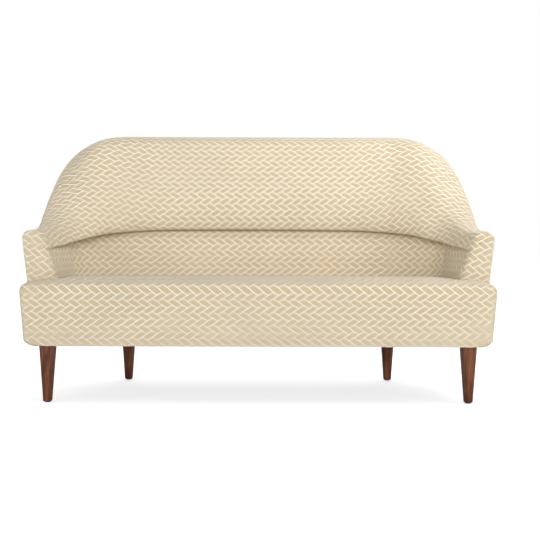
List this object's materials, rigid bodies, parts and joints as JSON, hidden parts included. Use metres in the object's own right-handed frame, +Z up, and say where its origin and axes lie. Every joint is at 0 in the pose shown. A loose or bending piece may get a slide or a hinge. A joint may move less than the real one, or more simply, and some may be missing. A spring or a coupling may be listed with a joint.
{
  "type": "high back settee",
  "caption": "High back settee with a padded horseshoe back rolling over a lower pad into low arms, a tight seat with front ears, and square tapered wooden legs.",
  "frame": {"origin": "centre of the footprint at the floor", "axes": "+X to the viewer's right along the settee's length, -Y towards the front of the seat, +Z up"},
  "size_m": [1.762, 0.7344, 1.018],
  "materials": {
    "upholstery": "woven cream and ochre broken-stripe pattern",
    "walnut": "dark walnut stain, satin",
    "frame_wood": "raw hardwood",
    "foam": "upholstery foam wrapped in wadding",
    "lining": "black non-woven lining",
    "steel": "bright drawn wire",
    "glide": "black moulded plastic"
  },
  "bodies": {
    "root": {"arm_facing_left": "upholstery", "arm_facing_right": "upholstery", "arm_post_left": "frame_wood", "arm_post_right": "frame_wood", "back_post_left": "frame_wood", "back_post_right": "frame_wood", "back_seat_rail": "frame_wood", "back_webbing": "lining", "centre_post": "frame_wood", "centre_stretcher": "frame_wood", "corner_block_back_left": "frame_wood", "corner_block_back_right": "frame_wood", "corner_block_front_left": "frame_wood", "corner_block_front_right": "frame_wood", "corner_post_left": "frame_wood", "corner_post_right": "frame_wood", "corner_seat_rail_left": "frame_wood", "corner_seat_rail_right": "frame_wood", "dust_cover": "lining", "front_seat_rail": "frame_wood", "glide_back_left": "glide", "glide_back_right": "glide", "glide_front_left": "glide", "glide_front_right": "glide", "hanger_bolt_back_left": "steel", "hanger_bolt_back_right": "steel", "hanger_bolt_front_left": "steel", "hanger_bolt_front_right": "steel", "leg_back_left": "walnut", "leg_back_right": "walnut", "leg_front_left": "walnut", "leg_front_right": "walnut", "lower_back_cover": "upholstery", "lower_back_foam": "foam", "outside_arm_cover_left": "upholstery", "outside_arm_cover_right": "upholstery", "outside_back_cover": "upholstery", "seat_cover": "upholstery", "seat_foam": "foam", "seat_spring_1": "steel", "seat_spring_2": "steel", "seat_spring_3": "steel", "seat_spring_4": "steel", "seat_spring_5": "steel", "seat_spring_6": "steel", "seat_spring_7": "steel", "seat_spring_8": "steel", "side_seat_rail_left": "frame_wood", "side_seat_rail_right": "frame_wood", "spring_insulator": "lining", "tack_rail": "frame_wood", "top_rail": "frame_wood", "upper_back_cover": "upholstery", "upper_back_foam": "foam", "wing_rail_left": "frame_wood", "wing_rail_right": "frame_wood"}
  },
  "joints": []
}
